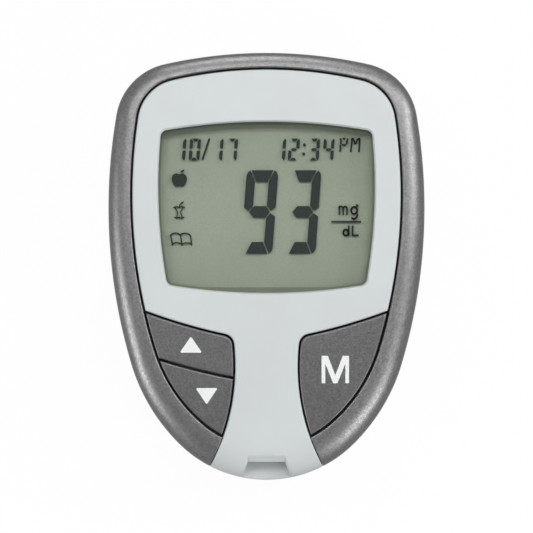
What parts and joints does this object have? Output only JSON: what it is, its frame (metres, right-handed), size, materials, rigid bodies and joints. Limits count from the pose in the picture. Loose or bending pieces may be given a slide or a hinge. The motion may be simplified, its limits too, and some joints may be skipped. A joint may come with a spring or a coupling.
{
  "type": "blood glucose meter",
  "caption": "Handheld blood glucose meter with a display window, sprung keys, a test strip port and a sliding battery cover.",
  "frame": {"origin": "centre of the bounding box on the back face, where the meter lies on a table", "axes": "+Z out of the display face, +Y towards the display end, away from the strip port, +X to the right"},
  "size_m": [0.057, 0.077, 0.0229],
  "materials": {
    "face": "satin moulded ABS, cool light grey",
    "trim": "satin metallic grey paint on moulded ABS",
    "key": "satin moulded keycap, dark grey",
    "back": "fine-textured moulded ABS, cool light grey",
    "lens": "clear moulded acrylic",
    "gasket": "black foam",
    "glass": "display glass with polariser film",
    "reflector": "grey-green reflective film",
    "frame_white": "moulded white plastic",
    "zebra": "layered conductive silicone",
    "steel": "nickel-plated steel",
    "dome": "stainless spring steel",
    "board": "green solder mask on glass epoxy",
    "black": "black moulded plastic",
    "gold": "gold-plated spring bronze",
    "passive": "ceramic chip parts"
  },
  "bodies": {
    "housing": {"front_case": "face", "side_trim": "trim", "display_window": "lens", "window_gasket": "gasket", "rear_case": "back", "case_screws": "steel", "circuit_board": "board", "lcd_front_glass": "glass", "lcd_rear_glass": "glass", "lcd_reflector": "reflector", "lcd_frame": "frame_white", "zebra_strips": "zebra", "key_deck": "frame_white", "up_dome": "dome", "down_dome": "dome", "memory_dome": "dome", "strip_connector": "black", "strip_contacts": "gold", "battery_plus_contacts": "steel", "battery_minus_contacts": "steel", "coin_cell_left": "steel", "coin_cell_right": "steel", "buzzer": "black", "processor_chip": "black", "memory_chip": "black", "crystal": "steel", "capacitors": "passive", "resistors": "black"},
    "up_key": {"up_button": "key"},
    "down_key": {"down_button": "key"},
    "memory_key": {"memory_button": "key"},
    "battery_cover": {"battery_door": "back"}
  },
  "joints": [
    {"name": "up_press", "type": "slide", "parent": "housing", "child": "up_key", "axis": [0, 0, -1], "range_m": [0, 0.0006], "stiffness_N_per_m": 1200, "springref_m": -0.0003, "deforming": ["up_dome"]},
    {"name": "down_press", "type": "slide", "parent": "housing", "child": "down_key", "axis": [0, 0, -1], "range_m": [0, 0.0006], "stiffness_N_per_m": 1200, "springref_m": -0.0003, "deforming": ["down_dome"]},
    {"name": "memory_press", "type": "slide", "parent": "housing", "child": "memory_key", "axis": [0, 0, -1], "range_m": [0, 0.0006], "stiffness_N_per_m": 1200, "springref_m": -0.0003, "deforming": ["memory_dome"]},
    {"name": "battery_cover_slide", "type": "slide", "parent": "housing", "child": "battery_cover", "axis": [0, 1, 0], "range_m": [0, 0.036]}
  ]
}
